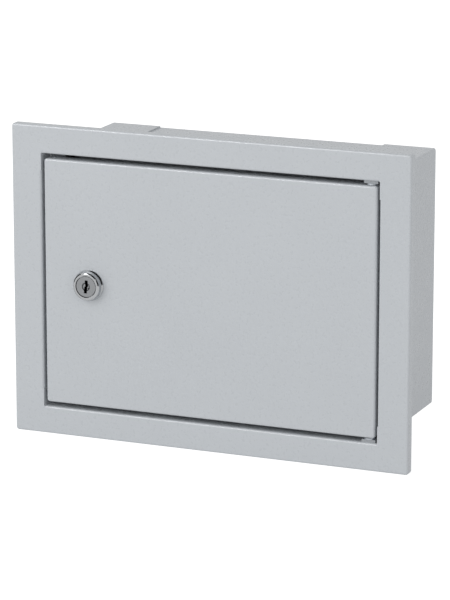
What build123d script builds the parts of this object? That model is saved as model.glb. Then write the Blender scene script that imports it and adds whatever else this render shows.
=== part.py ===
from build123d import *
import os

# Flush-mounted distribution board enclosure, one row of modular devices.
# Millimetres. X to the right, Y into the wall, Z up.
# The origin is the middle of the box's back face, so the board lies at negative Y.

os.makedirs("parts", exist_ok=True)

# Sheet metal
sheet = 1.0
bend_inside = 0.6
bend_outside = bend_inside + sheet
corner_over_bend = 0.4

# Trim frame and the opening that it leaves
board_depth = 120.0
frame_width = 300.0
frame_height = 225.0
frame_return = 7.0
border_side = 22.7
border_top = 20.1
rebate_depth = 16.0
catch_lip = 11.0
corner_relief = 12.5
corner_seam = 0.3
frame_screw_from_corner = 31.0

# Wall box behind the frame
box_gap_side = 1.4
box_over_opening = 1.4
box_gap_collar = 0.5
box_lip = 10.0
ear_length = 38.6
wall_hole_radius = 3.0
wall_hole_spacing_x = 180.0
wall_hole_spacing_z = 120.0
knockout_radius = 10.2
knockout_pitch = 27.0
knockout_lift = 0.4
knockout_from_back = 62.0

# Door, hung on the right
door_gap_hinge = 2.0
door_gap_lock = 2.3
door_gap_top = 3.5
door_return = 10.0
lock_from_edge = 34.3

# Hinges: the axis stands this far in from the door's edge and from its face
hinge_inset = 5.0
pin_radius = 2.0
pin_running_gap = 0.06
pin_head_radius = 3.2
pin_head_height = 1.2
pin_head_chamfer = 0.36
lug_width = 10.0
lug_depth = 12.5
lug_thickness = 2.0
lug_round = 2.5
washer_radius = 4.0

# Clearances
moving_gap = 0.3
thread_gap = 0.05
screw_hole_gap = 0.3

# Cam lock
lock_head_radius = 11.2
lock_head_height = 5.6
lock_head_rim = 0.6
lock_skirt_height = 1.75
lock_skirt_radius = 10.3
lock_collar_height = 4.95
lock_collar_radius = 10.1
lock_front_radius = 9.2
lock_edge_round = 0.15
lock_body_radius = 9.0
lock_flat_half = 8.0
lock_body_gap = 0.15
plug_radius = 7.65
plug_flange = 2.2
plug_shaft_radius = 6.25
plug_running_gap = 0.05
plug_recess = 0.2
plug_edge = 0.3
keyway_height = 9.4
keyway_width = 2.3
keyway_offset = 0.7
keyway_depth = 9.0
key_dish_radius = 3.1
key_dish_floor = 1.5
key_dish_depth = 0.8
nut_across_flats = 22.0
nut_thickness = 4.0
cam_thickness = 2.0
cam_reach = 28.5
cam_hub_radius = 9.0
cam_tip_radius = 6.0
cam_lip_gap = 2.0
tang_side = 7.5
cam_screw_radius = 2.5
cam_screw_length = 9.0
cam_washer_radius = 6.0

# Mounting rail and the brackets that carry it and the cover
bracket_sheet = 1.5
bracket_wall_gap = 4.0
bracket_base = 14.0
bracket_end_gap = 10.0
bracket_screw_from_end = 20.0
cover_tab_length = 28.0
rail_tab_length = 44.0
rail_tab_width = 16.5
rail_height = 35.0
rail_depth = 7.5
rail_channel = 27.0
rail_sheet = 1.0
rail_end_gap = 1.0
rail_slot_length = 15.0
rail_slot_width = 6.2
rail_slot_pitch = 25.0
rail_to_cover = 45.0

# Cover plate with the window for the devices
cover_from_front = 31.0
cover_gap_side = 1.2
cover_gap_top = 1.9
cover_return = 12.0
cover_screw_from_edge = 5.0
cover_screw_from_top = 18.0
module_width = 17.5
window_height = 46.5
window_end_gap = 3.5
window_margin = 6.5

# Terminal bars
bar_height = 6.5
bar_depth = 9.0
bar_stand = 16.0
terminal_count = 10
terminal_pitch = 8.5
terminal_end = 9.0
terminal_bore_radius = 2.5
terminal_bore_setback = 5.6
terminal_screw_radius = 2.0
terminal_screw_length = 3.6
device_half_height = 45.0
support_length = 9.0
support_cheek = 2.0
support_grip = 5.0
support_foot = 11.0
support_foot_thickness = 3.0
support_foot_round = 2.75

# Studs for the earth connections
earth_stud_radius = 3.0
earth_stud_length = 15.0
earth_stud_from_centre = 78.0
earth_stud_from_bottom = 19.0
earth_lug_room = 6.0
earth_washer_radius = 6.0
door_stud_from_edge = 25.0
door_stud_from_bottom = 23.0
door_stud_length = 12.0
door_lug_room = 3.0

# Fasteners: thread radii and lengths
screw_radius_4 = 2.0
screw_radius_5 = 2.5
frame_screw_length = 8.0
cover_screw_length = 8.0
nut_overhang = 3.0

# Fasteners: sizes as multiples of the thread radius
pan_head_across = 1.9
pan_head_tall = 1.2
recess_long = 1.9
recess_wide = 0.4
cheese_head_across = 1.45
cheese_head_tall = 1.1
slot_wide = 0.45
nut_across = 3.3
nut_tall = 1.6
cam_head_across = 3.2
cam_head_tall = 1.4
stud_end_chamfer = 0.25
stud_flange_across = 1.25
stud_flange_tall = 0.25

# Fasteners: shares of the head or nut
pan_head_round = 0.45
recess_deep = 0.5
nut_face = 0.54
nut_chamfer_run = 1.7

# Places worked out from the sizes above
front = -board_depth
opening_width = frame_width - 2 * border_side
opening_height = frame_height - 2 * border_top
lip_front = front + rebate_depth
box_front = lip_front + sheet
box_width = opening_width - 2 * box_gap_side
box_height = opening_height + 2 * box_over_opening
collar_depth = rebate_depth + sheet - box_gap_collar
wall_outside = box_height / 2 - sheet
wall_inside = wall_outside - sheet
side_inside = box_width / 2 - sheet
frame_screw_x = opening_width / 2 - catch_lip / 2 - sheet / 2
frame_screw_z = opening_height / 2 - frame_screw_from_corner

door_width = opening_width - door_gap_hinge - door_gap_lock
door_height = opening_height - 2 * door_gap_top
door_left = -opening_width / 2 + door_gap_lock
door_right = door_left + door_width
door_x = (door_left + door_right) / 2
hinge_x = door_right - hinge_inset
hinge_y = front + hinge_inset
spare_hinge_x = door_left + hinge_inset
lock_x = door_left + lock_from_edge

cam_front = box_front + sheet + cam_lip_gap
barrel_tail = cam_front - moving_gap
cover_y = front + cover_from_front
cover_back = cover_y + sheet
rail_front = cover_back + rail_to_cover
rail_back = rail_front + rail_depth
cover_width = opening_width - 2 * (catch_lip + cover_gap_side)
cover_height = 2 * (wall_inside - cover_gap_top)
cover_screw_x = cover_width / 2 - cover_screw_from_edge
cover_screw_z = cover_height / 2 - cover_screw_from_top
window_room = cover_width - 2 * (window_margin + window_end_gap)
module_count = int(window_room // module_width)
window_width = module_count * module_width + 2 * window_end_gap

bracket_outside = side_inside - bracket_wall_gap
bracket_inside = bracket_outside - bracket_sheet
bracket_half = wall_inside - bracket_end_gap
bracket_stud_x = bracket_outside - bracket_base / 2
bracket_stud_z = bracket_half - bracket_screw_from_end
rail_length = 2 * (bracket_inside - rail_end_gap)
rail_screw_x = bracket_inside - rail_tab_width / 2

bar_length = terminal_count * terminal_pitch + 2 * terminal_end
bar_z = (device_half_height + wall_inside) / 2
bar_back = -sheet - bar_stand
bar_stud_x = bar_length / 2 + support_foot / 2
earth_stud_z = -wall_inside + earth_stud_from_bottom
door_stud_x = door_right - door_stud_from_edge
door_stud_z = -door_height / 2 + door_stud_from_bottom


def folded_sheet(plane, points, length, thickness=sheet):
    """A strip bent along a line that runs through the middle of its thickness."""
    middle = FilletPolyline(*points, radius=bend_inside + thickness / 2)
    return extrude(plane * trace(middle, line_width=thickness), amount=length / 2, both=True)


def rounded_tray(block, bend):
    """A block with its four corners rounded in front view, then its front edges."""
    block = fillet(block.edges().filter_by(Axis.Y), bend + corner_over_bend)
    return fillet(block.faces().sort_by(Axis.Y)[0].edges(), bend)


def pan(width, depth, height, x):
    """A shallow tray, open to the back, its front edges bent round and its corners closed round."""
    outside = Pos(x, front + depth / 2, 0) * Box(width, depth, height)
    outside = rounded_tray(outside, bend_outside)
    hollow = Pos(x, front + sheet + depth / 2, 0) * Box(width - 2 * sheet, depth, height - 2 * sheet)
    return outside - rounded_tray(hollow, bend_inside)


def facing_front(piece, x, y, z):
    """Turns a piece made along +Z so that it looks out of the board, and places it."""
    return Pos(x, y, z) * Rot(90, 0, 0) * piece


def bore_along_y(radius, x, y, z, length):
    """A round cutter along Y, centred at the given point."""
    return Pos(x, y, z) * Rot(90, 0, 0) * Cylinder(radius, length)


def corners(x, z):
    """The four places that mirror each other about the board's middle."""
    return [(side * x, level * z) for side in (-1, 1) for level in (-1, 1)]


def pan_head_screw(radius, length):
    """A screw along Z with its head above zero and a cross recess in it."""
    head_radius = pan_head_across * radius
    head_height = pan_head_tall * radius
    head = Pos(0, 0, head_height / 2) * Cylinder(head_radius, head_height)
    head = fillet(head.edges().sort_by(Axis.Z)[-1], pan_head_round * head_height)
    shank = Pos(0, 0, -length / 2) * Cylinder(radius - thread_gap, length)
    cross_depth = recess_deep * head_height
    arm = Pos(0, 0, head_height) * Box(recess_long * radius, recess_wide * radius, 2 * cross_depth)
    return head + shank - arm - Rot(0, 0, 90) * arm


def slotted_screw(radius, length):
    """A cheese-head screw along Z with a single slot."""
    head_radius = cheese_head_across * radius
    head_height = cheese_head_tall * radius
    head = Pos(0, 0, head_height / 2) * Cylinder(head_radius, head_height)
    shank = Pos(0, 0, -length / 2) * Cylinder(radius - thread_gap, length)
    slot = Pos(0, 0, head_height) * Box(3 * head_radius, slot_wide * radius, head_height)
    return head + shank - slot


def hex_nut(radius, across_flats, thickness):
    """A nut that sits on zero and rises along Z, its corners turned down."""
    blank = extrude(RegularPolygon(across_flats / 2, 6, major_radius=False), thickness)
    face_radius = nut_face * across_flats
    turned = Cone(face_radius + nut_chamfer_run * thickness, face_radius, thickness,
                  align=(Align.CENTER, Align.CENTER, Align.MIN))
    bore = Cylinder(radius + thread_gap, 3 * thickness)
    return (blank & turned) - bore


def stud_nut(radius):
    """The standard nut for a stud of the given thread radius."""
    return hex_nut(radius, nut_across * radius, nut_tall * radius)


def weld_stud(radius, length):
    """A threaded stud that stands on zero along Z, its end chamfered."""
    rod = Pos(0, 0, length / 2) * Cylinder(radius - thread_gap, length)
    return chamfer(rod.edges().sort_by(Axis.Z)[-1], stud_end_chamfer * radius)


def flanged_stud(radius, length):
    """A weld stud for an earth connection, with a flange that the nut bears on."""
    flange_height = stud_flange_tall * radius
    flange = Pos(0, 0, flange_height / 2) * Cylinder(stud_flange_across * radius, flange_height)
    return flange + weld_stud(radius, length)


def make_wall_box():
    """The box: one blank with four walls, ears over the top and bottom, and side lips."""
    depth = -box_front
    middle_y = box_front / 2
    core = Pos(0, middle_y, 0) * Box(box_width, depth, 2 * wall_outside)
    front_edges = core.edges().filter_by(Axis.X).sort_by(Axis.Y)[:2]
    core = fillet(core.edges() - front_edges, bend_outside)
    ear_height = 4 * bend_outside
    ear = Box(ear_length, depth - 2 * bend_outside, ear_height)
    ear = fillet(ear.edges().filter_by(Axis.Y).group_by(Axis.X)[-1].sort_by(Axis.Z)[-1], bend_outside)
    ear = Pos(box_width / 2 - ear_length / 2, middle_y, box_height / 2 - ear_height / 2) * ear
    box = core + ear + mirror(ear, Plane.YZ)
    box += mirror(ear, Plane.XY) + mirror(mirror(ear, Plane.YZ), Plane.XY)
    hollow = Pos(0, middle_y, 0) * Box(2 * side_inside, depth - 2 * sheet, 2 * wall_inside)
    hollow = fillet(hollow.edges(), bend_inside)
    box -= hollow
    mouth_depth = 4 * sheet
    box -= Pos(0, box_front, 0) * Box(box_width - 2 * box_lip, mouth_depth, 2 * wall_inside)
    for level in (-1, 1):
        lip_end_z = level * (wall_inside - bend_outside)
        box -= Pos(0, box_front, lip_end_z) * Box(2 * side_inside, mouth_depth, 2 * bend_outside)
    for x, z in corners(wall_hole_spacing_x / 2, wall_hole_spacing_z / 2):
        box -= bore_along_y(wall_hole_radius, x, 0, z, 4 * sheet)
    for x, z in corners(frame_screw_x, frame_screw_z):
        box -= bore_along_y(screw_radius_4, x, box_front, z, 4 * sheet)
    flap_span = box_width - 2 * ear_length
    knockout_count = int(flap_span // knockout_pitch)
    disc = Cylinder(knockout_radius, knockout_lift)
    for level in (-1, 1):
        for place in GridLocations(knockout_pitch, 0, knockout_count, 1):
            x = place.position.X
            box += Pos(x, -knockout_from_back, level * (wall_outside + knockout_lift / 2)) * disc
            box -= Pos(x, -knockout_from_back, level * (wall_inside + knockout_lift / 2)) * disc
    return box


def collar_tab(side, level):
    """The collar's end, turned round the opening's corner to close it up to the side rebate."""
    bend_x = side * (opening_width / 2 + sheet / 2)
    collar_z = level * (opening_height / 2 + sheet / 2)
    line = [
        (side * (opening_width / 2 - bend_outside), collar_z),
        (bend_x, collar_z),
        (bend_x, level * (opening_height / 2 - corner_relief + corner_seam)),
    ]
    tab_depth = collar_depth - sheet
    middle = Plane.XZ.offset(-(front + sheet + tab_depth / 2))
    return folded_sheet(middle, line, tab_depth)


def lip_end(side, level):
    """The catch lip's end, which runs past the rebate's wall and stands behind the corner relief."""
    width = catch_lip - corner_seam
    x = side * (opening_width / 2 - corner_seam - width / 2)
    near = opening_height / 2 - corner_relief - sheet
    far = opening_height / 2 - corner_seam
    return Pos(x, lip_front + sheet / 2, level * (near + far) / 2) * Box(width, sheet, far - near)


def make_trim_frame():
    """The frame: a face with returns, a collar above and below, and catch lips at the sides."""
    half_width = opening_width / 2
    half_height = opening_height / 2
    face_middle = front + sheet / 2
    face_overlap = 2 * bend_outside
    collar_length = 2 * (half_width - bend_inside)
    frame = pan(frame_width, frame_return, frame_height, 0)
    frame -= Pos(0, front, 0) * Box(opening_width, 4 * sheet, opening_height)
    side_flap_length = opening_height - 2 * corner_relief
    for level in (-1, 1):
        frame -= Pos(0, front, level * (half_height + bend_outside / 2)) * Box(
            collar_length, 4 * sheet, bend_outside)
        collar_line = [
            (face_middle, level * (half_height + face_overlap)),
            (face_middle, level * (half_height + sheet / 2)),
            (front + collar_depth, level * (half_height + sheet / 2)),
        ]
        frame += folded_sheet(Plane.YZ, collar_line, collar_length)
    for side, level in corners(1, 1):
        frame += collar_tab(side, level)
        frame += lip_end(side, level)
    for side in (-1, 1):
        frame -= Pos(side * (half_width + bend_outside / 2), front, 0) * Box(
            bend_outside, 4 * sheet, side_flap_length)
        rebate_line = [
            (side * (half_width + face_overlap), face_middle),
            (side * (half_width + sheet / 2), face_middle),
            (side * (half_width + sheet / 2), lip_front + sheet / 2),
            (side * (half_width - catch_lip), lip_front + sheet / 2),
        ]
        frame += folded_sheet(Plane.XY, rebate_line, side_flap_length)
    for x, z in corners(frame_screw_x, frame_screw_z):
        frame -= bore_along_y(screw_radius_4 + screw_hole_gap, x, lip_front, z, 4 * sheet)
    return frame


def make_frame_screws():
    """Four screws that hold the frame's lips on the box's lips."""
    screw = pan_head_screw(screw_radius_4, frame_screw_length)
    return [facing_front(screw, x, lip_front, z) for x, z in corners(frame_screw_x, frame_screw_z)]


def make_hinge_lug(level):
    """A lug welded under the collar, which carries the hinge pin."""
    middle_y = front + bend_outside + lug_depth / 2
    middle_z = level * (opening_height / 2 - lug_thickness / 2)
    lug = Pos(hinge_x, middle_y, middle_z) * Box(lug_width, lug_depth, lug_thickness)
    lug = fillet(lug.edges().filter_by(Axis.Z).group_by(Axis.Y)[-1], lug_round)
    return lug - Pos(hinge_x, hinge_y, middle_z) * Cylinder(pin_radius, 2 * lug_thickness)


def make_hinge_pin(level):
    """The pin: riveted in the lug, through the door's return, with a head inside the door."""
    end = opening_height / 2
    head_top = door_height / 2 - sheet - moving_gap
    shank_length = end - head_top
    shank = Pos(0, 0, head_top + shank_length / 2) * Cylinder(pin_radius, shank_length)
    head = Pos(0, 0, head_top - pin_head_height / 2) * Cylinder(pin_head_radius, pin_head_height)
    head = chamfer(head.edges().sort_by(Axis.Z)[0], pin_head_chamfer)
    pin = shank + head
    turn = Rot(0, 0, 0) if level > 0 else Rot(180, 0, 0)
    return Pos(hinge_x, hinge_y, 0) * turn * pin


def make_hinge_washers():
    """The washers that keep the door clear of the lugs."""
    lug_face = opening_height / 2 - lug_thickness
    thickness = lug_face - door_height / 2 - moving_gap
    ring = Cylinder(washer_radius, thickness) - Cylinder(pin_radius + pin_running_gap, 2 * thickness)
    return [Pos(hinge_x, hinge_y, level * (lug_face - thickness / 2)) * ring for level in (-1, 1)]


def lock_section(radius, flat_half, start, end):
    """A round bar with two flats, along Y at the lock's axis."""
    length = end - start
    bar = Rot(90, 0, 0) * Cylinder(radius, length)
    bar &= Box(2 * flat_half, length, 2 * radius)
    return Pos(lock_x, (start + end) / 2, 0) * bar


def make_door_leaf():
    """The door: a tray with hinge holes on both sides, so that it can be hung either way."""
    door = pan(door_width, door_return, door_height, door_x)
    for x in (hinge_x, spare_hinge_x):
        door -= Pos(x, hinge_y, 0) * Cylinder(pin_radius + pin_running_gap, 2 * door_height)
    hole_radius = lock_body_radius + lock_body_gap
    hole_flat = lock_flat_half + lock_body_gap
    door -= lock_section(hole_radius, hole_flat, front - sheet, front + 3 * sheet)
    return door


def turned(points):
    """A piece turned about the lock's axis from (radius, y) points."""
    outline = make_face(Polyline(*points, close=True))
    return Pos(lock_x, 0, 0) * revolve(outline, Axis.Y)


def make_lock_barrel():
    """The barrel: a head with a skirt and a collar, a flatted body behind, bored for the plug."""
    seat_radius = plug_radius + moving_gap
    bore_radius = plug_shaft_radius + plug_running_gap
    face = front - lock_head_height
    seat = face + plug_recess + plug_flange + moving_gap
    head = turned([
        (bore_radius, front),
        (lock_head_radius, front),
        (lock_head_radius, front - lock_head_rim),
        (lock_skirt_radius, front - lock_skirt_height),
        (lock_collar_radius, front - lock_collar_height),
        (lock_front_radius, face),
        (seat_radius, face),
        (seat_radius, seat),
        (bore_radius, seat),
    ])
    rims = head.edges().filter_by(GeomType.CIRCLE).filter_by(lambda edge: edge.radius > seat_radius)
    head = fillet(rims.sort_by(Axis.Y)[:-1], lock_edge_round)
    body = lock_section(lock_body_radius, lock_flat_half, front, barrel_tail)
    body -= bore_along_y(bore_radius, lock_x, front, 0, 4 * rebate_depth)
    return head + body


def make_lock_plug():
    """The plug: a keyed disc in the head, a shaft through the barrel and a square tang."""
    face = front - lock_head_height + plug_recess
    plug = turned([
        (0, face),
        (plug_radius - plug_edge, face),
        (plug_radius, face + plug_edge),
        (plug_radius, face + plug_flange),
        (plug_shaft_radius, face + plug_flange),
        (plug_shaft_radius, cam_front),
        (0, cam_front),
    ])
    tang_length = cam_thickness - 2 * thread_gap
    plug += Pos(lock_x, cam_front + tang_length / 2, 0) * Box(tang_side, tang_length, tang_side)
    for level in (-1, 1):
        plug -= Pos(lock_x + level * keyway_offset / 2, face, level * keyway_height / 4) * Box(
            keyway_width, 2 * keyway_depth, keyway_height / 2)
    plug -= turned([
        (0, face),
        (key_dish_radius, face),
        (key_dish_floor, face + key_dish_depth),
        (0, face + key_dish_depth),
    ])
    plug -= bore_along_y(cam_screw_radius, lock_x, cam_front, 0, 2 * cam_screw_length)
    return plug


def make_lock_nut():
    """The nut that clamps the barrel in the door."""
    nut = hex_nut(lock_body_radius, nut_across_flats, nut_thickness)
    return Pos(lock_x, front + sheet, 0) * Rot(-90, 0, 0) * nut


def make_lock_cam():
    """The cam, hanging down as it does when the door is unlocked."""
    tip = Pos(0, -(cam_reach - cam_tip_radius)) * Circle(cam_tip_radius)
    outline = make_hull((Circle(cam_hub_radius) + tip).edges())
    outline -= Rectangle(tang_side + 2 * thread_gap, tang_side + 2 * thread_gap)
    plane = Plane(origin=(lock_x, cam_front, 0), x_dir=(1, 0, 0), z_dir=(0, -1, 0))
    return extrude(plane * outline, amount=-cam_thickness)


def make_cam_washer():
    """The washer over the cam's square hole."""
    washer_y = cam_front + cam_thickness + sheet / 2
    washer = bore_along_y(cam_washer_radius, lock_x, washer_y, 0, sheet)
    return washer - bore_along_y(cam_screw_radius + thread_gap, lock_x, washer_y, 0, 4 * sheet)


def make_cam_screw():
    """The hexagon screw that holds the cam on the plug."""
    hexagon = RegularPolygon(cam_head_across * cam_screw_radius / 2, 6, major_radius=False)
    head = extrude(hexagon, cam_head_tall * cam_screw_radius)
    shank = Pos(0, 0, -cam_screw_length / 2) * Cylinder(cam_screw_radius - thread_gap, cam_screw_length)
    return Pos(lock_x, cam_front + cam_thickness + sheet, 0) * Rot(-90, 0, 0) * (head + shank)


def make_side_bracket(side):
    """A bracket on the back wall: tabs for the cover at its ends, a tab for the rail between."""
    web = bracket_outside - bracket_sheet / 2
    base_middle = -sheet - bracket_sheet / 2
    tab_middle = cover_back + bracket_sheet / 2
    rail_tab_middle = rail_back + bracket_sheet / 2
    bend = bend_inside + bracket_sheet
    tab_reach = bracket_inside - rail_tab_width
    line = [
        (bracket_outside - bracket_base, base_middle),
        (web, base_middle),
        (web, tab_middle),
        (tab_reach, tab_middle),
    ]
    bracket = folded_sheet(Plane.XY, line, 2 * bracket_half, bracket_sheet)
    notch_depth = rail_back + bend - cover_back + 2 * bracket_sheet
    notch_y = rail_back + bend - notch_depth / 2
    notch_height = 2 * (bracket_half - cover_tab_length)
    notch_width = 2 * (bracket_outside - tab_reach)
    notch = Box(notch_width, notch_depth, notch_height)
    bracket -= Pos(bracket_outside - notch_width / 4, notch_y, 0) * notch
    rail_line = [
        (web, rail_tab_middle + 2 * bend),
        (web, rail_tab_middle),
        (tab_reach, rail_tab_middle),
    ]
    bracket += folded_sheet(Plane.XY, rail_line, rail_tab_length, bracket_sheet)
    bracket -= bore_along_y(screw_radius_5 + screw_hole_gap, rail_screw_x, rail_back, 0, 4 * bracket_sheet)
    through = 4 * bracket_sheet
    stud_hole = screw_radius_5 + screw_hole_gap
    for level in (-1, 1):
        bracket -= bore_along_y(screw_radius_4, cover_screw_x, cover_back, level * cover_screw_z, through)
        bracket -= bore_along_y(stud_hole, bracket_stud_x, -sheet, level * bracket_stud_z, through)
    return bracket if side > 0 else mirror(bracket, Plane.YZ)


def make_bracket_studs():
    """Studs welded on the back wall for the brackets."""
    stud = weld_stud(screw_radius_5, bracket_sheet + nut_tall * screw_radius_5 + nut_overhang)
    return [facing_front(stud, x, -sheet, z) for x, z in corners(bracket_stud_x, bracket_stud_z)]


def make_bracket_nuts():
    """The nuts on the bracket studs."""
    nut = stud_nut(screw_radius_5)
    seat = -sheet - bracket_sheet
    return [facing_front(nut, x, seat, z) for x, z in corners(bracket_stud_x, bracket_stud_z)]


def make_din_rail():
    """The top-hat rail that the devices clip on, slotted along its middle."""
    flange = rail_front + rail_sheet / 2
    web = rail_back - rail_sheet / 2
    edge = rail_height / 2
    channel = rail_channel / 2 - rail_sheet / 2
    line = [
        (flange, edge),
        (flange, channel),
        (web, channel),
        (web, -channel),
        (flange, -channel),
        (flange, -edge),
    ]
    rail = folded_sheet(Plane.YZ, line, rail_length, rail_sheet)
    slot_room = 2 * (rail_screw_x - rail_slot_length / 2)
    slot_count = int(slot_room // rail_slot_pitch)
    slot = extrude(SlotOverall(rail_slot_length, rail_slot_width), 2 * rail_sheet, both=True)
    for place in GridLocations(rail_slot_pitch, 0, slot_count, 1):
        rail -= facing_front(slot, place.position.X, web, 0)
    for side in (-1, 1):
        rail -= bore_along_y(screw_radius_5 + screw_hole_gap, side * rail_screw_x, web, 0, 4 * rail_sheet)
    return rail


def make_rail_screws():
    """Two screws through the rail's ends and the brackets' tabs."""
    length = rail_sheet + bracket_sheet + nut_tall * screw_radius_5 + nut_overhang
    screw = pan_head_screw(screw_radius_5, length)
    return [facing_front(screw, side * rail_screw_x, rail_back - rail_sheet, 0) for side in (-1, 1)]


def make_rail_nuts():
    """The nuts behind the brackets' rail tabs."""
    seat = rail_back + bracket_sheet
    return [Pos(side * rail_screw_x, seat, 0) * Rot(-90, 0, 0) * stud_nut(screw_radius_5) for side in (-1, 1)]


def make_cover_plate():
    """The plate in front of the devices, bent back above and below."""
    middle = cover_y + sheet / 2
    edge = cover_height / 2 - sheet / 2
    line = [
        (cover_y + cover_return, edge),
        (middle, edge),
        (middle, -edge),
        (cover_y + cover_return, -edge),
    ]
    cover = folded_sheet(Plane.YZ, line, cover_width)
    window = extrude(RectangleRounded(window_width, window_height, bend_outside), 2 * sheet, both=True)
    cover -= facing_front(window, 0, middle, 0)
    for x, z in corners(cover_screw_x, cover_screw_z):
        cover -= bore_along_y(screw_radius_4 + screw_hole_gap, x, middle, z, 4 * sheet)
    return cover


def make_cover_screws():
    """The four screws of the cover plate."""
    screw = pan_head_screw(screw_radius_4, cover_screw_length)
    return [facing_front(screw, x, cover_y, z) for x, z in corners(cover_screw_x, cover_screw_z)]


def terminal_places():
    """How far each terminal stands from the middle of its bar."""
    return [place.position.X for place in GridLocations(terminal_pitch, 0, terminal_count, 1)]


def make_terminal_bar(level):
    """A brass bar with a wire bore and a screw hole for each terminal."""
    bar_front = bar_back - bar_depth
    bar = Pos(0, bar_back - bar_depth / 2, level * bar_z) * Box(bar_length, bar_depth, bar_height)
    bore_y = bar_front + terminal_bore_setback
    for x in terminal_places():
        bar -= Pos(x, bore_y, level * bar_z) * Cylinder(terminal_bore_radius, 2 * bar_height)
        bar -= bore_along_y(terminal_screw_radius, x, bar_front, level * bar_z, 2 * terminal_bore_setback)
    return bar


def make_terminal_screws(level):
    """The clamping screws of one bar."""
    screw = slotted_screw(terminal_screw_radius, terminal_screw_length)
    bar_front = bar_back - bar_depth
    return [facing_front(screw, x, bar_front, level * bar_z) for x in terminal_places()]


def make_bar_supports(level):
    """Two moulded supports: a pillar with cheeks that grip the bar, and a foot with a hole."""
    cheek_height = bar_height + 2 * support_cheek
    supports = []
    for side in (-1, 1):
        pillar_x = side * (bar_length / 2 - support_length / 2)
        pillar_depth = bar_stand + support_grip
        pillar = Pos(pillar_x, -sheet - pillar_depth / 2, 0) * Box(support_length, pillar_depth, cheek_height)
        pillar -= Pos(pillar_x, bar_back - bar_depth / 2, 0) * Box(2 * support_length, bar_depth, bar_height)
        foot_x = side * (bar_length / 2 + support_foot / 2)
        foot = Pos(foot_x, -sheet - support_foot_thickness / 2, 0) * Box(
            support_foot, support_foot_thickness, cheek_height)
        upright = foot.edges().filter_by(Axis.Y).sort_by(Axis.X)
        foot = fillet(upright[-2:] if side > 0 else upright[:2], support_foot_round)
        foot -= bore_along_y(screw_radius_4 + screw_hole_gap, foot_x, -sheet, 0, 4 * support_foot_thickness)
        supports.append(Pos(0, 0, level * bar_z) * (pillar + foot))
    return supports


def make_bar_studs():
    """Studs welded on the back wall for the bar supports."""
    stud = weld_stud(screw_radius_4, support_foot_thickness + nut_tall * screw_radius_4 + nut_overhang)
    return [facing_front(stud, x, -sheet, z) for x, z in corners(bar_stud_x, bar_z)]


def make_bar_nuts():
    """The nuts on the bar supports' feet."""
    seat = -sheet - support_foot_thickness
    return [facing_front(stud_nut(screw_radius_4), x, seat, z) for x, z in corners(bar_stud_x, bar_z)]


def make_earth_stud():
    """The stud for the incoming earth wire, on the back wall."""
    stud = flanged_stud(earth_stud_radius, earth_stud_length)
    return facing_front(stud, earth_stud_from_centre, -sheet, earth_stud_z)


def make_earth_nuts():
    """A washer and a nut on the earth stud."""
    washer = Cylinder(earth_washer_radius, sheet) - Cylinder(earth_stud_radius + thread_gap, 2 * sheet)
    seat = -sheet - earth_lug_room
    nut = stud_nut(earth_stud_radius)
    return [
        facing_front(Pos(0, 0, sheet / 2) * washer, earth_stud_from_centre, seat, earth_stud_z),
        facing_front(nut, earth_stud_from_centre, seat - sheet, earth_stud_z),
    ]


def make_door_earth_stud():
    """The stud for the bonding wire, welded inside the door."""
    stud = flanged_stud(earth_stud_radius, door_stud_length)
    return Pos(door_stud_x, front + sheet, door_stud_z) * Rot(-90, 0, 0) * stud


def make_door_earth_nut():
    """The nut on the door's stud."""
    seat = front + sheet + door_lug_room
    return Pos(door_stud_x, seat, door_stud_z) * Rot(-90, 0, 0) * stud_nut(earth_stud_radius)


pieces = {
    "wall_box": make_wall_box(),
    "trim_frame": make_trim_frame(),
    "frame_screws": make_frame_screws(),
    "hinge_lug_top": make_hinge_lug(1),
    "hinge_lug_bottom": make_hinge_lug(-1),
    "hinge_pin_top": make_hinge_pin(1),
    "hinge_pin_bottom": make_hinge_pin(-1),
    "hinge_washers": make_hinge_washers(),
    "bracket_studs": make_bracket_studs(),
    "bracket_nuts": make_bracket_nuts(),
    "side_bracket_left": make_side_bracket(-1),
    "side_bracket_right": make_side_bracket(1),
    "din_rail": make_din_rail(),
    "rail_screws": make_rail_screws(),
    "rail_nuts": make_rail_nuts(),
    "cover_plate": make_cover_plate(),
    "cover_screws": make_cover_screws(),
    "neutral_bar": make_terminal_bar(1),
    "neutral_bar_screws": make_terminal_screws(1),
    "neutral_bar_supports": make_bar_supports(1),
    "earth_bar": make_terminal_bar(-1),
    "earth_bar_screws": make_terminal_screws(-1),
    "earth_bar_supports": make_bar_supports(-1),
    "bar_studs": make_bar_studs(),
    "bar_nuts": make_bar_nuts(),
    "earth_stud": make_earth_stud(),
    "earth_stud_nuts": make_earth_nuts(),
    "door_leaf": make_door_leaf(),
    "lock_barrel": make_lock_barrel(),
    "lock_nut": make_lock_nut(),
    "door_earth_stud": make_door_earth_stud(),
    "door_earth_nut": make_door_earth_nut(),
    "lock_plug": make_lock_plug(),
    "lock_cam": make_lock_cam(),
    "cam_washer": make_cam_washer(),
    "cam_screw": make_cam_screw(),
}

for name, piece in pieces.items():
    solids = Compound(children=piece) if isinstance(piece, list) else piece
    export_step(solids, f"parts/{name}.step")
    print(name, len(solids.solids()), round(solids.volume, 1))
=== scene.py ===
# %% [markdown]
# A flush distribution board, dressed for its portrait
#
# The solids of the board are ready: a box that sits in the wall, a trim frame round its mouth, a door
# with a cam lock, and the rail, cover and terminal bars inside. This script gives them their finishes,
# adds the fine pieces that solids leave out, and photographs the board. The model is loaded as a fixed
# frame, because everything below takes its place and size from it.

# %% Load the board
import math

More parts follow.
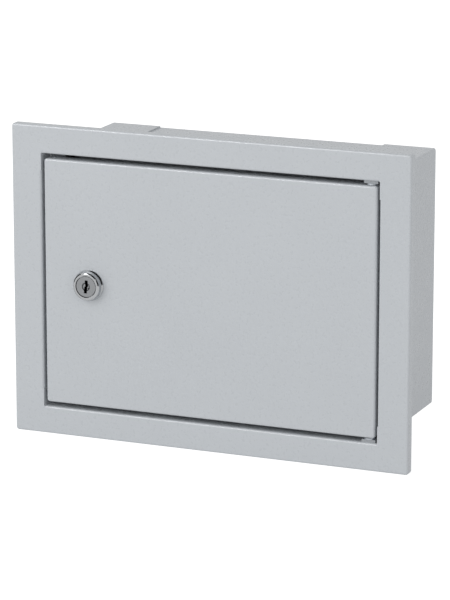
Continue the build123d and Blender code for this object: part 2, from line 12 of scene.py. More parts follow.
import bmesh
import bpy
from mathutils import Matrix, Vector


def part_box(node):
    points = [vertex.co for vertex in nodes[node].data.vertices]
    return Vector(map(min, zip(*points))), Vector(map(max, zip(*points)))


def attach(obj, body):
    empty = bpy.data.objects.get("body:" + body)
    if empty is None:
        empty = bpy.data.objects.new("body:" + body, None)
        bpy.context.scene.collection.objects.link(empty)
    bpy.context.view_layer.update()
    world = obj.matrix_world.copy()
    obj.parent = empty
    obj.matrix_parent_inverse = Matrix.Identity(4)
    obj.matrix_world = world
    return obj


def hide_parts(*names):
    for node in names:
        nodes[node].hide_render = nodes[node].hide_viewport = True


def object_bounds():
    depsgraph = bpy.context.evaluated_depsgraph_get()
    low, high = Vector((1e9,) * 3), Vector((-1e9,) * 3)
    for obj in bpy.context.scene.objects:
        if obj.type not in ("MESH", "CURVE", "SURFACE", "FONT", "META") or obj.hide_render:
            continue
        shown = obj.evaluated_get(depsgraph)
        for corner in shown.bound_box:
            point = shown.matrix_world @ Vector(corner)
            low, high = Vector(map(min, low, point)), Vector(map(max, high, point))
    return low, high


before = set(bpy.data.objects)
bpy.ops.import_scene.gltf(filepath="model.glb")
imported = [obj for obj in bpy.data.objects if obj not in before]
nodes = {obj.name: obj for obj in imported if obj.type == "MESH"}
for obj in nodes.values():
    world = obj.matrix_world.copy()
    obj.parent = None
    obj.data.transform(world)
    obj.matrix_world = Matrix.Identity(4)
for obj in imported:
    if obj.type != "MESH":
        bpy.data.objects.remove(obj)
solid_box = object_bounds()
print("pieces in the frame:", len(nodes))
print("size in mm:", [round(1000 * side, 1) for side in solid_box[1] - solid_box[0]])

# %% [markdown]
# Small helpers
#
# Everything on the board is known in millimetres, and Blender works in metres, so one value turns one
# into the other. Colours are written the way a paint chart gives them, as sRGB hex values. Shaders want
# linear light, so one function turns them. A third helper adds a node to a material together with its
# settings and its incoming links, which keeps each material short enough to read as a recipe.

# %% Millimetres, colours and nodes
mm = 0.001


def linear(hex_colour):
    """An sRGB hex colour as linear light, with full alpha."""
    channels = [int(hex_colour[i:i + 2], 16) / 255 for i in (1, 3, 5)]
    return [c / 12.92 if c <= 0.04045 else ((c + 0.055) / 1.055) ** 2.4 for c in channels] + [1.0]


def add_node(tree, kind, settings=None, links=None):
    """Adds a node, writes its settings and connects its inputs."""
    node = tree.nodes.new(kind)
    for key, value in (settings or {}).items():
        if isinstance(key, str) and hasattr(node, key):
            setattr(node, key, value)
        else:
            node.inputs[key].default_value = value
    for key, source in (links or {}).items():
        tree.links.new(source, node.inputs[key])
    return node


def new_material(name):
    """An empty material with its shader and its output joined."""
    material = bpy.data.materials.new(name)
    material.use_nodes = True
    tree = material.node_tree
    tree.nodes.clear()
    shader = add_node(tree, "ShaderNodeBsdfPrincipled")
    add_node(tree, "ShaderNodeOutputMaterial", links={"Surface": shader.outputs["BSDF"]})
    place = add_node(tree, "ShaderNodeTexCoord").outputs["Object"]
    return material, tree, shader, place


print("light grey in linear light:", [round(c, 3) for c in linear("#BFC3C7")[:3]])

# %% [markdown]
# Powder-coated steel
#
# The frame, door, box and cover are sheet steel, sprayed with polyester powder and baked. The powder
# flows out but never quite flat: the baked coat keeps a skin of low bumps two or three millimetres
# across. On a flat face they hardly show. On a fold, where a narrow highlight runs along the bend, they
# break it into bright dots, and that is what tells the eye that this is powder and not wet paint.
# A noise pattern makes the bumps and lets the gloss change with them, and a slow second one lets the
# grey wander by a percent or so, as film thickness does. Image textures would need unwrapping, and a
# pattern in space wraps every fold.

# %% The powder coat
coat_grey = "#C0C4C8"
coat_grey_thin = "#BCC0C4"
coat_grain = 2.6
coat_bump_height = 0.15
coat_cloud = 60.0
coat_roughness = (0.27, 0.43)
grain_range = (0.38, 0.62)
# A darker grey for the hinge lugs deep in the recess: painted shade.
lug_painted_shade_grey = "#A0A4A8"
lug_painted_shade_grey_thin = "#94989C"


def powder_coated_steel(name, thin, full):
    """Baked polyester powder, matt to satin, with a fine orange peel."""
    material, tree, shader, place = new_material(name)
    clouds = add_node(tree, "ShaderNodeTexNoise", {"Scale": 1 / (coat_cloud * mm), "Detail": 3.0},
                      {"Vector": place})
    colour = add_node(tree, "ShaderNodeValToRGB", None, {"Fac": clouds.outputs["Fac"]})
    colour.color_ramp.elements[0].color = linear(thin)
    colour.color_ramp.elements[1].color = linear(full)
    grain = add_node(tree, "ShaderNodeTexNoise",
                     {"Scale": 1 / (coat_grain * mm), "Detail": 2.0, "Roughness": 0.55}, {"Vector": place})
    roughness = add_node(tree, "ShaderNodeMapRange",
                         {"From Min": grain_range[0], "From Max": grain_range[1],
                          "To Min": coat_roughness[0], "To Max": coat_roughness[1]},
                         {"Value": grain.outputs["Fac"]})
    bump = add_node(tree, "ShaderNodeBump", {"Strength": 1.0, "Distance": coat_bump_height * mm},
                    {"Height": grain.outputs["Fac"]})
    tree.links.new(colour.outputs["Color"], shader.inputs["Base Color"])
    tree.links.new(roughness.outputs["Result"], shader.inputs["Roughness"])
    tree.links.new(bump.outputs["Normal"], shader.inputs["Normal"])
    return material


coat = powder_coated_steel("powder_coated_steel", coat_grey_thin, coat_grey)
# The lugs' coat is the same powder in a darker grey: painted shade for the recess they sit in.
lug_shade_coat = powder_coated_steel("powder_coat_painted_shade", lug_painted_shade_grey_thin, lug_painted_shade_grey)
print("powder coats:", coat.name, lug_shade_coat.name)

# %% [markdown]
# Chrome-plated zinc
#
# The lock's barrel and plug are die-cast zinc, polished and plated. Polished chrome is a near mirror,
# so its look is nearly all reflection: what counts is a low roughness and something dark as well as
# something light to reflect. The plug's face is brushed before plating. The brush leaves fine lines,
# which a noise stretched along one direction imitates. It does not reach into the dish round the
# keyway, nor over the turned edge, so a mask by distance from the lock's axis keeps both bright. A dark
# ring under the dish's rim, which the same distance places, is painted shade, and the keyway behind it
# is darkened almost to black, as painted shade for the deep slot.

# %% The two chromes
plug_low, plug_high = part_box("lock_plug")
lock_axis = (plug_low + plug_high) / 2
chrome_tint = "#C4C6C8"
chrome_ripple = 2.5
chrome_ripple_height = 0.01
chrome_roughness = (0.09, 0.15)
brushed_tint = "#A0A2A4"
brush_line = 0.18
brush_length = 6.0
brush_height = 0.008
brushed_roughness = (0.26, 0.42)
face_radius = 7.35
dish_radius = 3.1
dish_reach = 4.0
dish_roughness = 0.1
dish_tint = "#A4A6A8"
# Painted shade under the dish's rim.
dish_rim_painted_shade = "#4E5052"
# Tints outwards from the lock's axis, each at its share of dish_reach. The dark pair is painted shade under
# the dish's rim.
dish_stops = ((0.50, dish_tint), (0.64, dish_rim_painted_shade), (0.76, dish_rim_painted_shade), (0.80, brushed_tint))
# Behind keyway_start the plug's colour is scaled almost to black: painted shade in the deep keyway.
keyway_start = 1.0
keyway_painted_shade = 0.08


def polished_chrome():
    """Bright chrome over a polished casting."""
    material, tree, shader, place = new_material("chrome_polished")
    shader.inputs["Metallic"].default_value = 1.0
    ripple = add_node(tree, "ShaderNodeTexNoise", {"Scale": 1 / (chrome_ripple * mm), "Detail": 1.0},
                      {"Vector": place})
    roughness = add_node(tree, "ShaderNodeMapRange",
                         {"To Min": chrome_roughness[0], "To Max": chrome_roughness[1]},
                         {"Value": ripple.outputs["Fac"]})
    bump = add_node(tree, "ShaderNodeBump", {"Strength": 0.4, "Distance": chrome_ripple_height * mm},
                    {"Height": ripple.outputs["Fac"]})
    shader.inputs["Base Color"].default_value = linear(chrome_tint)
    tree.links.new(roughness.outputs["Result"], shader.inputs["Roughness"])
    tree.links.new(bump.outputs["Normal"], shader.inputs["Normal"])
    return material


def brushed_chrome():
    """Chrome over a brushed face: soft streaks along one direction."""
    material, tree, shader, place = new_material("chrome_brushed")
    shader.inputs["Metallic"].default_value = 1.0
    stretch = add_node(tree, "ShaderNodeMapping", None, {"Vector": place})
    stretch.inputs["Scale"].default_value = (1 / (brush_length * mm), 1 / mm, 1 / (brush_line * mm))
    lines = add_node(tree, "ShaderNodeTexNoise", {"Scale": 1.0, "Detail": 3.0},
                     {"Vector": stretch.outputs["Vector"]})
    streaks = add_node(tree, "ShaderNodeMapRange",
                       {"To Min": brushed_roughness[0], "To Max": brushed_roughness[1]},
                       {"Value": lines.outputs["Fac"]})
    flat = add_node(tree, "ShaderNodeVectorMath", {"operation": "MULTIPLY", 1: (1.0, 0.0, 1.0)}, {0: place})
    away = add_node(tree, "ShaderNodeVectorMath",
                    {"operation": "DISTANCE", 1: (lock_axis.x, 0.0, lock_axis.z)}, {0: flat.outputs[0]})
    outside_dish = add_node(tree, "ShaderNodeMath", {"operation": "GREATER_THAN", 1: dish_radius * mm},
                            {0: away.outputs["Value"]})
    inside_edge = add_node(tree, "ShaderNodeMath", {"operation": "LESS_THAN", 1: face_radius * mm},
                           {0: away.outputs["Value"]})
    brushed = add_node(tree, "ShaderNodeMath", {"operation": "MULTIPLY"},
                       {0: outside_dish.outputs[0], 1: inside_edge.outputs[0]})
    roughness = add_node(tree, "ShaderNodeMapRange", {"To Min": dish_roughness},
                         {"Value": brushed.outputs[0], "To Max": streaks.outputs["Result"]})
    bump = add_node(tree, "ShaderNodeBump", {"Strength": 0.5, "Distance": brush_height * mm},
                    {"Height": lines.outputs["Fac"]})
    reach = add_node(tree, "ShaderNodeMath", {"operation": "DIVIDE", 1: dish_reach * mm},
                     {0: away.outputs["Value"]})
    # The dark ring in this ramp is painted shade under the dish's rim.
    colour = add_node(tree, "ShaderNodeValToRGB", None, {"Fac": reach.outputs[0]})
    colour.color_ramp.elements[0].color = linear(dish_tint)
    colour.color_ramp.elements[1].color = linear(brushed_tint)
    for share, tint in dish_stops:
        colour.color_ramp.elements.new(share).color = linear(tint)
    # Past keyway_start the colour is scaled down: painted shade in the keyway.
    axes = add_node(tree, "ShaderNodeSeparateXYZ", None, {0: place})
    in_keyway = add_node(tree, "ShaderNodeMath",
                         {"operation": "GREATER_THAN", 1: plug_low.y + keyway_start * mm},
                         {0: axes.outputs["Y"]})
    keyway_shade = add_node(tree, "ShaderNodeMapRange", {"To Min": 1.0, "To Max": keyway_painted_shade},
                    {"Value": in_keyway.outputs[0]})
    keyway_shaded_colour = add_node(tree, "ShaderNodeVectorMath", {"operation": "SCALE"},
                           {0: colour.outputs["Color"], "Scale": keyway_shade.outputs["Result"]})
    tree.links.new(keyway_shaded_colour.outputs[0], shader.inputs["Base Color"])
    tree.links.new(roughness.outputs["Result"], shader.inputs["Roughness"])
    tree.links.new(bump.outputs["Normal"], shader.inputs["Normal"])
    return material


chrome = polished_chrome()
chrome_face = brushed_chrome()
print("lock's axis in mm:", [round(1000 * place, 1) for place in (lock_axis.x, lock_axis.z)])

# %% [markdown]
# Zinc on steel, two ways
#
# The brackets and the rail are cut from steel that was galvanised in the coil. Its zinc froze in
# crystals, the spangle, each a slightly different grey. A Voronoi pattern gives such crystals: each
# cell gets a random value, and the value shifts colour and roughness. Screws, nuts, studs and pins are
# plated one by one and passivated, which leaves a thin coat with a cool blue cast and fine grain.

# %% Galvanised and plated steel
spangle_size = 4.0
spangle_tints = ("#A9ADB0", "#C7CBCE")
spangle_roughness = (0.34, 0.5)
plating_grain = 0.6
plating_tints = ("#B4BAC2", "#CDD1D6")
plating_roughness = (0.24, 0.38)


def galvanised_steel():
    """Coil-galvanised sheet with a small spangle."""
    material, tree, shader, place = new_material("galvanised_steel")
    shader.inputs["Metallic"].default_value = 1.0
    cells = add_node(tree, "ShaderNodeTexVoronoi", {"Scale": 1 / (spangle_size * mm)}, {"Vector": place})
    value = add_node(tree, "ShaderNodeRGBToBW", None, {"Color": cells.outputs["Color"]})
    colour = add_node(tree, "ShaderNodeValToRGB", None, {"Fac": value.outputs["Val"]})
    colour.color_ramp.elements[0].color = linear(spangle_tints[0])
    colour.color_ramp.elements[1].color = linear(spangle_tints[1])
    roughness = add_node(tree, "ShaderNodeMapRange",
                         {"To Min": spangle_roughness[0], "To Max": spangle_roughness[1]},
                         {"Value": value.outputs["Val"]})
    tree.links.new(colour.outputs["Color"], shader.inputs["Base Color"])
    tree.links.new(roughness.outputs["Result"], shader.inputs["Roughness"])
    return material


def zinc_plated_steel():
    """Electroplated and passivated steel, satin, faintly blue."""
    material, tree, shader, place = new_material("zinc_plated_steel")
    shader.inputs["Metallic"].default_value = 1.0
    grain = add_node(tree, "ShaderNodeTexNoise", {"Scale": 1 / (plating_grain * mm), "Detail": 2.0},
                     {"Vector": place})
    colour = add_node(tree, "ShaderNodeValToRGB", None, {"Fac": grain.outputs["Fac"]})
    colour.color_ramp.elements[0].color = linear(plating_tints[0])
    colour.color_ramp.elements[1].color = linear(plating_tints[1])
    roughness = add_node(tree, "ShaderNodeMapRange",
                         {"To Min": plating_roughness[0], "To Max": plating_roughness[1]},
                         {"Value": grain.outputs["Fac"]})
    tree.links.new(colour.outputs["Color"], shader.inputs["Base Color"])
    tree.links.new(roughness.outputs["Result"], shader.inputs["Roughness"])
    return material


galvanised = galvanised_steel()
plated = zinc_plated_steel()
print("zinc finishes:", galvanised.name, plated.name)

# %% [markdown]
# Brass and the moulded plastics
#
# The terminal bars are drawn brass, sawn and drilled, with faint lines along the bar. Their supports
# are moulded polyamide, blue for neutral and green for earth. Moulded plastic takes the mould's
# spark-eroded skin: a very fine bump and a satin sheen.

# %% Brass and polyamide
draw_length = 20
draw_line = 0.3
brass_tints = ("#C79F55", "#DDB96E")
brass_roughness = (0.22, 0.38)
skin_grain = 0.5
skin_height = 0.01
skin_roughness = 0.42


def drawn_brass():
    """Brass bar with draw lines along X."""
    material, tree, shader, place = new_material("brass_drawn")
    shader.inputs["Metallic"].default_value = 1.0
    stretch = add_node(tree, "ShaderNodeMapping", None, {"Vector": place})
    across = 1 / (draw_line * mm)
    stretch.inputs["Scale"].default_value = (1 / (draw_length * mm), across, across)
    lines = add_node(tree, "ShaderNodeTexNoise", {"Scale": 1.0, "Detail": 2.0},
                     {"Vector": stretch.outputs["Vector"]})
    colour = add_node(tree, "ShaderNodeValToRGB", None, {"Fac": lines.outputs["Fac"]})
    colour.color_ramp.elements[0].color = linear(brass_tints[0])
    colour.color_ramp.elements[1].color = linear(brass_tints[1])
    roughness = add_node(tree, "ShaderNodeMapRange",
                         {"To Min": brass_roughness[0], "To Max": brass_roughness[1]},
                         {"Value": lines.outputs["Fac"]})
    tree.links.new(colour.outputs["Color"], shader.inputs["Base Color"])
    tree.links.new(roughness.outputs["Result"], shader.inputs["Roughness"])
    return material


def moulded_polyamide(name, dark, light):
    """Glass-filled polyamide from a spark-eroded mould."""
    material, tree, shader, place = new_material(name)
    skin = add_node(tree, "ShaderNodeTexNoise", {"Scale": 1 / (skin_grain * mm), "Detail": 2.0},
                    {"Vector": place})
    colour = add_node(tree, "ShaderNodeValToRGB", None, {"Fac": skin.outputs["Fac"]})
    colour.color_ramp.elements[0].color = linear(dark)
    colour.color_ramp.elements[1].color = linear(light)
    bump = add_node(tree, "ShaderNodeBump", {"Strength": 0.5, "Distance": skin_height * mm},
                    {"Height": skin.outputs["Fac"]})
    shader.inputs["Roughness"].default_value = skin_roughness
    tree.links.new(colour.outputs["Color"], shader.inputs["Base Color"])
    tree.links.new(bump.outputs["Normal"], shader.inputs["Normal"])
    return material


brass = drawn_brass()
blue_plastic = moulded_polyamide("polyamide_blue", "#2C5C9E", "#3A6EB2")
green_plastic = moulded_polyamide("polyamide_green", "#3F8A4C", "#4FA05C")
print("terminal finishes:", brass.name, blue_plastic.name, green_plastic.name)

# %% [markdown]
# Who wears what
#
# Each solid keeps its shape and only gets a better finish in its material slots. The hinge lugs and
# the frame are coated together after welding, so the lugs wear the coat too, but deep in the recess
# their coat is given a darker grey, which is painted shade.

# %% Dress the solids
finishes = {
    coat: ["wall_box", "trim_frame", "door_leaf", "cover_plate"],
    lug_shade_coat: ["hinge_lug_top", "hinge_lug_bottom"],
    chrome: ["lock_barrel"],
    chrome_face: ["lock_plug"],
    galvanised: ["side_bracket_left", "side_bracket_right", "din_rail"],
    plated: ["frame_screws", "hinge_pin_top", "hinge_pin_bottom", "bracket_studs", "bracket_nuts",
             "rail_screws", "rail_nuts", "cover_screws", "neutral_bar_screws", "earth_bar_screws",
             "bar_studs", "bar_nuts", "earth_stud", "earth_stud_nuts", "lock_nut", "door_earth_stud",
             "door_earth_nut", "lock_cam", "cam_washer", "cam_screw", "hinge_washers"],
    brass: ["neutral_bar", "earth_bar"],
    blue_plastic: ["neutral_bar_supports"],
    green_plastic: ["earth_bar_supports"],
}
for finish, names in finishes.items():
    for name in names:
        for slot in nodes[name].material_slots:
            slot.material = finish
dressed = sum(len(names) for names in finishes.values())
print("dressed", dressed, "of", len(nodes))

# %% [markdown]
# Rolled threads
#
# The studs and the lock's barrel are plain rods in the solids, because a thread is too fine to carry in
# a solid. On the real board they are rolled between dies, which press one ridge that climbs one pitch in
# every turn. The same idea draws it here: the outline of the teeth is spun once round the axis while it
# moves along by one pitch, so each tooth ends where its neighbour began. The rod itself shrinks to the
# bottom of the teeth, and the ridge sinks into it at both ends, as a thread does at its run-out.

# %% Threads on the studs and on the barrel
tooth_depth = 0.61
tooth_outline = ((0.125, 0.0), (0.44, 1.0), (0.56, 1.0), (0.875, 0.0))
sink = 0.02
spare_turns = 3
point_weld = 0.0005
seam_weld = 0.001
cut_tolerance = 0.0001
rod_tolerance = 0.03
end_tolerance = 0.01


def piece_from(work, name, material):
    """Makes a mesh in work an object of the scene, in one material, and frees the work."""
    mesh = bpy.data.meshes.new(name)
    work.to_mesh(mesh)
    work.free()
    mesh.materials.append(material)
    piece = bpy.data.objects.new(name, mesh)
    bpy.context.scene.collection.objects.link(piece)
    return piece


def loose_parts(work):
    """The separate parts of a mesh in work, each as a list of points that grows while it is read."""
    waiting = set(work.verts)
    parts = []
    for first in work.verts:
        if first not in waiting:
            continue
        waiting.discard(first)
        part = [first]
        for vert in part:
            for edge in vert.link_edges:
                other = edge.other_vert(vert)
                if other in waiting:
                    waiting.discard(other)
                    part.append(other)
        parts.append(part)
    return parts


def ridge(axis, start, end, crest, pitch, tip, steps, flat_half):
    """A helical ridge along Y from start to end, as a mesh of its own. Tip is the radius at the end."""
    root = crest - tooth_depth * pitch
    low, high = min(start, end), max(start, end)
    work = bmesh.new()
    last = None
    for turn in range(math.ceil((high - low) / pitch) + spare_turns):
        for along, rise in tooth_outline:
            radius = root + rise * (crest - root)
            height = low + (turn - spare_turns / 2 + along) * pitch
            point = work.verts.new((axis.x + radius, height, axis.z))
            if last:
                work.edges.new((last, point))
            last = point
    bmesh.ops.spin(work, geom=work.verts[:] + work.edges[:], cent=axis, axis=(0, 1, 0),
                   dvec=(0, pitch / steps, 0), angle=2 * math.pi, steps=steps, use_merge=False)
    bmesh.ops.remove_doubles(work, verts=work.verts, dist=seam_weld * mm)
    for place, side in ((low, -1), (high, 1)):
        bmesh.ops.bisect_plane(work, geom=work.verts[:] + work.edges[:] + work.faces[:],
                               dist=cut_tolerance * mm, plane_co=(0, place, 0), plane_no=(0, side, 0),
                               clear_outer=True)
    for vert in work.verts:
        away = Vector((vert.co.x - axis.x, 0, vert.co.z - axis.z))
        allowed = min(root + abs(vert.co.y - start), tip + abs(vert.co.y - end)) - sink * mm
        if away.length > allowed:
            away *= allowed / away.length
        if flat_half:
            away.x = max(-flat_half, min(flat_half, away.x))
        vert.co.x, vert.co.z = axis.x + away.x, axis.z + away.z
    bmesh.ops.recalc_face_normals(work, faces=work.faces)
    mesh = bpy.data.meshes.new("ridge")
    work.to_mesh(mesh)
    work.free()
    return mesh


def threaded(name, node_name, body, finish, crest, rod, pitch, neck, facing, steps=24, flat_half=0.0):
    """A copy of a node whose rods carry a thread. Sizes in mm, facing -1 for rods that point forward."""
    work = bmesh.new()
    work.from_mesh(nodes[node_name].data)
    bmesh.ops.remove_doubles(work, verts=work.verts, dist=point_weld * mm)
    root = crest - tooth_depth * pitch
    ridges = []
    for part in loose_parts(work):
        low = Vector([min(vert.co[i] for vert in part) for i in range(3)])
        high = Vector([max(vert.co[i] for vert in part) for i in range(3)])
        axis = (low + high) / 2
        start = (low.y if facing > 0 else high.y) + facing * neck * mm
        end = high.y if facing > 0 else low.y
        tip = root * mm
        for vert in part:
            away = Vector((vert.co.x - axis.x, 0, vert.co.z - axis.z))
            if abs(away.length - rod * mm) < rod_tolerance * mm:
                away *= root * mm / away.length
                vert.co.x, vert.co.z = axis.x + away.x, axis.z + away.z
            if abs(vert.co.y - end) < end_tolerance * mm and away.length > 0.5 * rod * mm:
                tip = min(tip, away.length)
        ridges.append(ridge(axis, start, end, crest * mm, pitch * mm, tip, steps, flat_half * mm))
    for mesh in ridges:
        work.from_mesh(mesh)
        bpy.data.meshes.remove(mesh)
    piece = piece_from(work, name, finish)
    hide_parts(node_name)
    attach(piece, body)
    print(name, "parts:", len(ridges), "faces:", len(piece.data.polygons))


barrel_neck = 1000 * (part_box("door_leaf")[0].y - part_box("lock_barrel")[0].y)
threaded("bracket_studs_threaded", "bracket_studs", "enclosure", plated,
         crest=2.5, rod=2.45, pitch=0.8, neck=0.6, facing=-1)
threaded("bar_studs_threaded", "bar_studs", "enclosure", plated,
         crest=2.0, rod=1.95, pitch=0.7, neck=0.5, facing=-1)
threaded("earth_stud_threaded", "earth_stud", "enclosure", plated,
         crest=3.0, rod=2.95, pitch=1.0, neck=1.0, facing=-1)
threaded("door_earth_stud_threaded", "door_earth_stud", "door", plated,
         crest=3.0, rod=2.95, pitch=1.0, neck=1.0, facing=1)
threaded("barrel_threaded", "lock_barrel", "door", chrome,
         crest=9.0, rod=9.0, pitch=1.0, neck=barrel_neck + 0.2, facing=1, steps=48, flat_half=8.0)

# %% [markdown]
# Earth signs
#
# Every place where an earth wire is bolted must carry the earth sign, one stem and three bars that get
# shorter. Here it is coined into the sheet before coating, so it stands up a third of a millimetre
# and wears the same coat. Each line is a small block with its upper edges rounded, as a coin's relief is.

# %% Coined earth signs
sign_height = 0.35
sign_edge = 0.22
sign_aside = 8
# The stem and the three bars: place across and up, width, height.
sign_lines = ((0.0, 2.6, 0.9, 3.4), (0.0, 0.6, 7.0, 0.9), (0.0, -1.2, 4.6, 0.9), (0.0, -3.0, 2.2, 0.9))


def earth_sign(name, body, x, y, z, facing):
    """The sign in relief on a sheet at y, facing -1 forward or 1 backward. Place in metres."""
    work = bmesh.new()
    for across, up, width, height in sign_lines:
        line = bmesh.ops.create_cube(work, size=1.0)["verts"]
        bmesh.ops.scale(work, vec=(width * mm, 2 * sign_height * mm, height * mm), verts=line)
        bmesh.ops.translate(work, vec=(x + across * mm, y, z + up * mm), verts=line)
    outer = [edge for edge in work.edges if all(facing * (vert.co.y - y) > 0 for vert in edge.verts)]
    bmesh.ops.bevel(work, geom=outer, offset=sign_edge * mm, segments=3, profile=0.5, affect="EDGES",
                    material=-1)
    piece = piece_from(work, name, coat)
    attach(piece, body)
    print(name, "faces:", len(piece.data.polygons))


stud_low, stud_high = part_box("earth_stud")
earth_sign("earth_sign_box", "enclosure", stud_low.x - sign_aside * mm, stud_high.y,
           (stud_low.z + stud_high.z) / 2, facing=-1)
stud_low, stud_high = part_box("door_earth_stud")
earth_sign("earth_sign_door", "door", stud_low.x - sign_aside * mm, stud_low.y,
           (stud_low.z + stud_high.z) / 2, facing=1)

# %% [markdown]
# The studio
#
# A product portrait on white needs even daylight and some direction. The world gives the daylight. Two
# large soft lamps stand in front, a strong one at the left and a weak one at the right, which lifts the
# box's side. The camera stands between them, so the walls it sees in the gaps round the door face away
# from the strong lamp and stay dark. The lamps leave no mirror image, because cards do that work in the
# next cell. The floor is matt, and it also glows: strongly for the camera, so that it looks white up to
# the board, and weakly for the board, so that the board's own shadow darkens the lower front less.
# Mirror-like surfaces see a slightly greyer room than the camera does, so that chrome keeps its tone.

# %% World, floor and lamps
daylight = 0.63
room_in_mirrors = 0.78
floor_size = 12.0
floor_tone = 0.60
floor_glow = 0.74
floor_glow_on_things = 0.27
floor_glow_in_mirrors = 0.27
middle = (solid_box[0] + solid_box[1]) / 2


def strength_by_ray(tree, plain, seen, mirrored):
    """One strength for light that falls on things, one for the camera and one for reflections."""
    path = add_node(tree, "ShaderNodeLightPath")
    total = None
    for ray, value in (("Is Camera Ray", seen), ("Is Glossy Ray", mirrored), ("Is Transmission Ray", seen)):
        step = add_node(tree, "ShaderNodeMath", {"operation": "MULTIPLY_ADD", 1: value - plain, 2: plain},
                        {0: path.outputs[ray]})
        if total:
            tree.links.new(total.outputs[0], step.inputs[2])
        total = step
    return total.outputs[0]


def make_world():
    """Even daylight for the surfaces, plain white for the camera, a greyer room for reflections."""
    world = bpy.data.worlds.new("studio")
    bpy.context.scene.world = world
    world.use_nodes = True
    tree = world.node_tree
    tree.nodes.clear()
    light = add_node(tree, "ShaderNodeBackground", {"Color": (1, 1, 1, 1)},
                     {"Strength": strength_by_ray(tree, daylight, 1.0, room_in_mirrors)})
    add_node(tree, "ShaderNodeOutputWorld", links={"Surface": light.outputs["Background"]})


def flat_square(name, size, material, place, facing):
    """A square sheet at a place, facing a direction, for the floor and for the cards."""
    sheet = bmesh.new()
    bmesh.ops.create_grid(sheet, x_segments=1, y_segments=1, size=size / 2)
    turn = Vector(facing).to_track_quat("Z", "Y").to_matrix()
    bmesh.ops.rotate(sheet, cent=(0, 0, 0), matrix=turn, verts=sheet.verts)
    bmesh.ops.translate(sheet, vec=place, verts=sheet.verts)
    square = piece_from(sheet, name, material)
    return square


def floor_white():
    """A matt floor with a glow that lifts it to white for the camera."""
    material = bpy.data.materials.new("floor_white")
    material.use_nodes = True
    tree = material.node_tree
    tree.nodes.clear()
    matt = add_node(tree, "ShaderNodeBsdfDiffuse", {"Color": (floor_tone, floor_tone, floor_tone, 1)})
    glow = add_node(tree, "ShaderNodeEmission", {"Color": (1, 1, 1, 1)},
                    {"Strength": strength_by_ray(tree, floor_glow_on_things, floor_glow,
                                                 floor_glow_in_mirrors)})
    both = add_node(tree, "ShaderNodeAddShader", None, {0: matt.outputs[0], 1: glow.outputs[0]})
    add_node(tree, "ShaderNodeOutputMaterial", links={"Surface": both.outputs[0]})
    return material


def direction(turn, height):
    """The way from the board to a place in front of it, in degrees to the right and degrees up."""
    turn, height = math.radians(turn), math.radians(height)
    return Vector((math.sin(turn) * math.cos(height), -math.cos(turn) * math.cos(height), math.sin(height)))


def soft_lamp(name, turn, height, distance, size, power):
    """A square soft lamp round the board: degrees to the right, degrees up, metres, watts."""
    away = direction(turn, height)
    data = bpy.data.lights.new(name, "AREA")
    data.shape = "SQUARE"
    data.size = size
    data.energy = power
    lamp = bpy.data.objects.new(name, data)
    lamp.location = middle + distance * away
    lamp.rotation_mode = "QUATERNION"
    lamp.rotation_quaternion = (-away).to_track_quat("-Z", "Y")
    lamp.visible_camera = False
    lamp.visible_glossy = False
    bpy.context.scene.collection.objects.link(lamp)
    return lamp


make_world()
flat_square("floor", floor_size, floor_white(), (0, 0, solid_box[0].z), (0, 0, 1))
lamp_right = soft_lamp("lamp_right", turn=50.0, height=20.0, distance=3.0, size=2.2, power=9.0)
lamp_left = soft_lamp("lamp_left", turn=-35.0, height=25.0, distance=3.0, size=3.0, power=36.0)
print("lamps:", [lamp.name for lamp in (lamp_right, lamp_left)])

# %% [markdown]
# Cards for the folds and the chrome
#
# Chrome in an all-white room has nothing to mirror but white, and it then looks like white paint. So a
# photographer hangs black cards above and beside the camera, which put dark arcs on every bevel. A white
# card, lit, hangs at the upper left, where every upper fold mirrors it, and draws the thin bright line
# along the folds. All cards are only seen by mirror-like rays: they change no daylight on the board and
# never show themselves.

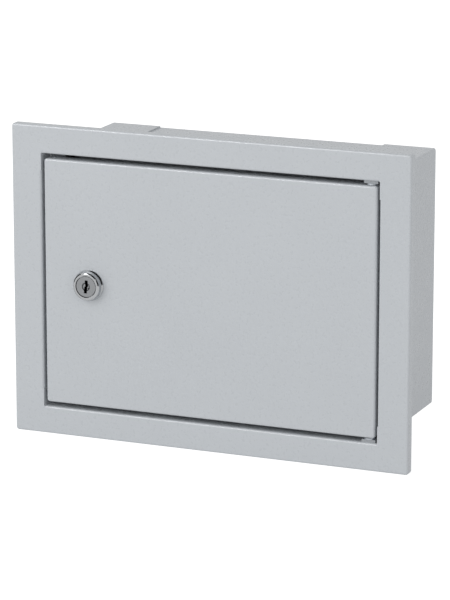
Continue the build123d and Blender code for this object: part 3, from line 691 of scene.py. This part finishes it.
# %% Cards
card_light = 9.0
card_dark = "#1E1F21"
card_roughness = 0.9
card_black = bpy.data.materials.new("card_black")
card_black.use_nodes = True
paper = card_black.node_tree.nodes["Principled BSDF"]
paper.inputs["Base Color"].default_value = linear(card_dark)
paper.inputs["Roughness"].default_value = card_roughness
card_white = bpy.data.materials.new("card_white")
card_white.use_nodes = True
card_white.node_tree.nodes.clear()
card_glow = add_node(card_white.node_tree, "ShaderNodeEmission",
                     {"Color": (1, 1, 1, 1), "Strength": card_light})
add_node(card_white.node_tree, "ShaderNodeOutputMaterial", links={"Surface": card_glow.outputs[0]})
cards = [
    flat_square("card_right", 1.5, card_black, (1.35, -0.9, 0.64), (-1.0, 0.6, 0.0)),
    flat_square("card_above", 2.8, card_black, (0.75, -0.75, 1.4), (0.0, 0.0, -1.0)),
    flat_square("card_left", 1.2, card_black, (-1.4, -0.1, 0.5), (1.0, 0.1, 0.0)),
    flat_square("card_lit", 0.7, card_white, (-0.56, -1.15, 0.8), (0.375, 0.76, -0.53)),
]
for card in cards:
    card.visible_camera = False
    card.visible_diffuse = False
    card.visible_shadow = False
    card.visible_transmission = False
print("cards:", len(cards))

# %% [markdown]
# The camera
#
# The photograph was taken from the right and a little above with a long lens, from a little over two
# metres. The lens is long, so the frame's edges stay nearly parallel. The camera is placed by its
# distance, its two angles and the point of the front that it looks at.

# %% Camera
view_turn = 22.721
view_height = 13.882
view_distance = 2.3221
lens = 200.17
sensor_width = 36.0
lock_head_height = 5.6
aim_right = 13.62
aim_up = -0.77
aim = Vector((aim_right * mm, solid_box[0].y + lock_head_height * mm, aim_up * mm))


def make_camera():
    """A camera on the line of sight, looking at the aim point."""
    back = direction(view_turn, view_height)
    data = bpy.data.cameras.new("camera")
    data.lens = lens
    data.sensor_width = sensor_width
    data.clip_start = 0.05
    data.clip_end = 50.0
    camera = bpy.data.objects.new("camera", data)
    camera.location = aim + view_distance * back
    camera.rotation_mode = "QUATERNION"
    camera.rotation_quaternion = (-back).to_track_quat("-Z", "Y")
    bpy.context.scene.collection.objects.link(camera)
    bpy.context.scene.camera = camera
    return camera


camera = make_camera()
bpy.context.scene.view_settings.view_transform = "Standard"
print("camera stands at", [round(c, 3) for c in camera.location])
